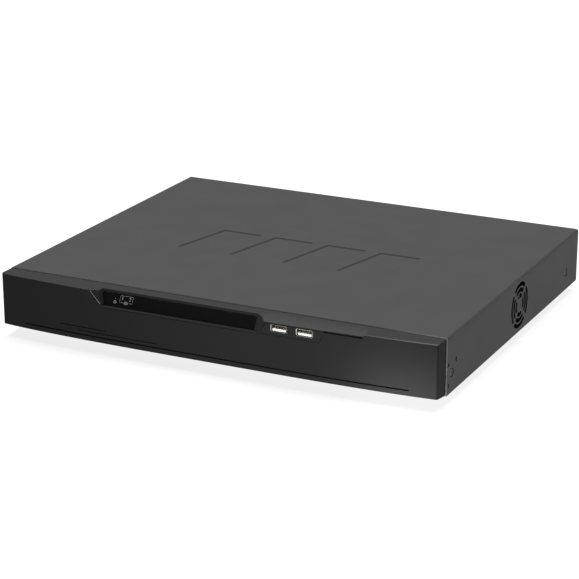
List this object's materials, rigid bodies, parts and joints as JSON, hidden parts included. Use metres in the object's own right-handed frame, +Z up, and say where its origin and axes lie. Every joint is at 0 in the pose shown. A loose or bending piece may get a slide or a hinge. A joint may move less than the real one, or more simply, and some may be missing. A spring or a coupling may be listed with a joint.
{
  "type": "network video recorder",
  "caption": "Low desktop video recorder: folded grey steel case, bowed dark plastic front with tinted indicator window and two USB ports, side fan, internal disks.",
  "frame": {"origin": "centre of the overall footprint, on the surface the rubber feet stand on", "axes": "+X to the right seen from the front, +Y from the front bezel to the rear panel, +Z up"},
  "size_m": [0.375, 0.327, 0.053],
  "materials": {
    "coated_steel": "fine-texture dark grey powder coat on folded sheet steel",
    "zinc_steel": "galvanised sheet steel",
    "bezel_plastic": "moulded ABS, fine spark texture, dark grey",
    "window_acrylic": "smoked acrylic, polished",
    "plated_shell": "nickel-plated stamped steel",
    "white_insulator": "white nylon",
    "board_laminate": "green solder mask on glass laminate",
    "clear_acrylic": "clear moulded acrylic",
    "grey_ribbon": "PVC ribbon cable",
    "chip_epoxy": "black moulded epoxy",
    "anodised_aluminium": "extruded and anodised",
    "black_nylon": "black moulded nylon",
    "white_jack": "white moulded nylon",
    "red_jack": "red moulded nylon",
    "terminal_green": "green moulded nylon",
    "screw_steel": "nickel-plated steel",
    "disk_aluminium": "die-cast aluminium",
    "disk_lid_steel": "brushed stainless steel",
    "platter_mirror": "polished platter",
    "red_lead": "red PVC sheath",
    "black_lead": "black PVC sheath",
    "winding_tape": "yellow polyester tape over ferrite",
    "capacitor_sleeve": "shrunk PVC sleeve",
    "foot_rubber": "black moulded rubber"
  },
  "bodies": {
    "case": {"top_cover": "coated_steel", "base_tray": "zinc_steel", "fan_bracket": "zinc_steel", "front_bezel": "bezel_plastic", "usb_port_insert": "bezel_plastic", "indicator_window": "window_acrylic", "front_usb_shell_1": "plated_shell", "front_usb_shell_2": "plated_shell", "network_socket": "plated_shell", "hdmi_socket": "plated_shell", "video_socket": "plated_shell", "rear_usb_socket": "plated_shell", "clock_cell": "plated_shell", "front_usb_tongue_1": "white_insulator", "front_usb_tongue_2": "white_insulator", "front_panel_board": "board_laminate", "main_board": "board_laminate", "power_supply_board": "board_laminate", "disk_1_board": "board_laminate", "disk_2_board": "board_laminate", "light_guide": "clear_acrylic", "front_panel_cable": "grey_ribbon", "processor": "chip_epoxy", "heatsink": "anodised_aluminium", "clock_cell_holder": "black_nylon", "mains_inlet": "black_nylon", "power_switch_frame": "black_nylon", "fan_frame": "black_nylon", "audio_in_jack": "white_jack", "audio_out_jack": "red_jack", "alarm_header": "terminal_green", "alarm_plug": "terminal_green", "ground_screw": "screw_steel", "cover_screw_front_left": "screw_steel", "cover_screw_front_right": "screw_steel", "cover_screw_rear_left": "screw_steel", "cover_screw_rear_right": "screw_steel", "disk_1_casting": "disk_aluminium", "disk_2_casting": "disk_aluminium", "disk_1_lid": "disk_lid_steel", "disk_2_lid": "disk_lid_steel", "disk_1_data_lead": "red_lead", "disk_2_data_lead": "red_lead", "low_voltage_lead": "red_lead", "disk_1_power_lead": "black_lead", "disk_2_power_lead": "black_lead", "mains_lead": "black_lead", "fan_lead": "black_lead", "transformer": "winding_tape", "mains_capacitor": "capacitor_sleeve", "foot_front_left": "foot_rubber", "foot_front_right": "foot_rubber", "foot_rear_left": "foot_rubber", "foot_rear_right": "foot_rubber"},
    "fan_rotor": {"fan_rotor": "black_nylon"},
    "rocker": {"power_rocker": "black_nylon"},
    "disk_1_spindle": {"disk_1_platters": "platter_mirror"},
    "disk_1_arm": {"disk_1_head_arm": "disk_aluminium"},
    "disk_2_spindle": {"disk_2_platters": "platter_mirror"},
    "disk_2_arm": {"disk_2_head_arm": "disk_aluminium"}
  },
  "joints": [
    {"name": "fan_spin", "type": "hinge", "parent": "case", "child": "fan_rotor", "pos_m": [0.18, 0.0105, 0.03], "axis": [1, 0, 0], "continuous": true},
    {"name": "rocker_throw", "type": "hinge", "parent": "case", "child": "rocker", "pos_m": [0.112, 0.1529, 0.0276], "axis": [1, 0, 0], "range_deg": [0, 14]},
    {"name": "disk_1_spin", "type": "hinge", "parent": "case", "child": "disk_1_spindle", "pos_m": [-0.099, -0.074, 0.02], "axis": [0, 0, 1], "continuous": true},
    {"name": "disk_1_seek", "type": "hinge", "parent": "case", "child": "disk_1_arm", "pos_m": [-0.075, -0.021, 0.02], "axis": [0, 0, 1], "range_deg": [0, 35]},
    {"name": "disk_2_spin", "type": "hinge", "parent": "case", "child": "disk_2_spindle", "pos_m": [0.021, -0.074, 0.02], "axis": [0, 0, 1], "continuous": true},
    {"name": "disk_2_seek", "type": "hinge", "parent": "case", "child": "disk_2_arm", "pos_m": [0.045, -0.021, 0.02], "axis": [0, 0, 1], "range_deg": [0, 35]}
  ]
}
